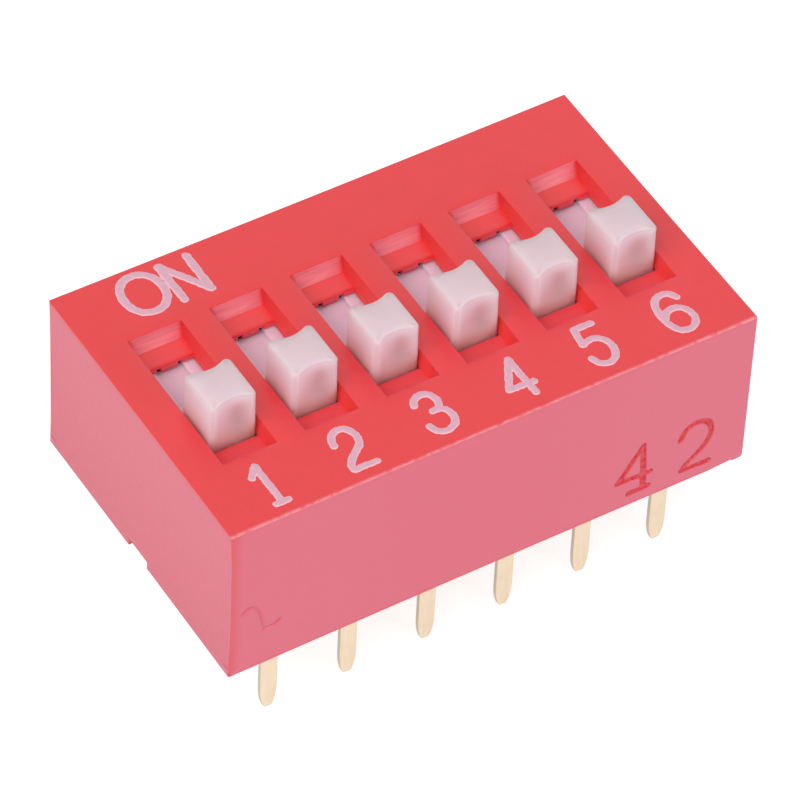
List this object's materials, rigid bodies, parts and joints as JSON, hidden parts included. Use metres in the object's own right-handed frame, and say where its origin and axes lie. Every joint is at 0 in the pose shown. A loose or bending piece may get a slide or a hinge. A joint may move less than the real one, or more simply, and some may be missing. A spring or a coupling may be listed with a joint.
{
  "type": "dip switch",
  "caption": "Box-shaped row of slide switches with raised knobs in stepped windows, on rows of straight pins for a circuit board.",
  "frame": {"origin": "on the board's surface, which the four feet touch, midway between the two rows of pins and between the first and the last switch", "axes": "+X along the row from switch 1 to switch 6, +Y across the row towards the closed side, where the knobs go when switched on, +Z away from the board"},
  "size_m": [0.0166, 0.01, 0.0103],
  "materials": {
    "housing_plastic": "fine moulded matt red",
    "base_plastic": "matt black",
    "seal_resin": "cast resin, slightly glossy",
    "slider_plastic": "translucent white, satin",
    "spring_metal": "gold-plated copper alloy",
    "terminal_metal": "gold flash over copper alloy, satin",
    "print_ink": "printed ink"
  },
  "bodies": {
    "switch_body": {"housing": "housing_plastic", "base": "base_plastic", "bottom_seal": "seal_resin", "front_terminal_1": "terminal_metal", "front_terminal_2": "terminal_metal", "front_terminal_3": "terminal_metal", "front_terminal_4": "terminal_metal", "front_terminal_5": "terminal_metal", "front_terminal_6": "terminal_metal", "rear_terminal_1": "terminal_metal", "rear_terminal_2": "terminal_metal", "rear_terminal_3": "terminal_metal", "rear_terminal_4": "terminal_metal", "rear_terminal_5": "terminal_metal", "rear_terminal_6": "terminal_metal"},
    "slider_1": {"slider_1": "slider_plastic", "spring_1": "spring_metal"},
    "slider_2": {"slider_2": "slider_plastic", "spring_2": "spring_metal"},
    "slider_3": {"slider_3": "slider_plastic", "spring_3": "spring_metal"},
    "slider_4": {"slider_4": "slider_plastic", "spring_4": "spring_metal"},
    "slider_5": {"slider_5": "slider_plastic", "spring_5": "spring_metal"},
    "slider_6": {"slider_6": "slider_plastic", "spring_6": "spring_metal"}
  },
  "joints": [
    {"name": "slider_1_slide", "type": "slide", "parent": "switch_body", "child": "slider_1", "axis": [0, 1, 0], "range_m": [0, 0.0019]},
    {"name": "slider_2_slide", "type": "slide", "parent": "switch_body", "child": "slider_2", "axis": [0, 1, 0], "range_m": [0, 0.0019]},
    {"name": "slider_3_slide", "type": "slide", "parent": "switch_body", "child": "slider_3", "axis": [0, 1, 0], "range_m": [0, 0.0019]},
    {"name": "slider_4_slide", "type": "slide", "parent": "switch_body", "child": "slider_4", "axis": [0, 1, 0], "range_m": [0, 0.0019]},
    {"name": "slider_5_slide", "type": "slide", "parent": "switch_body", "child": "slider_5", "axis": [0, 1, 0], "range_m": [0, 0.0019]},
    {"name": "slider_6_slide", "type": "slide", "parent": "switch_body", "child": "slider_6", "axis": [0, 1, 0], "range_m": [0, 0.0019]}
  ]
}
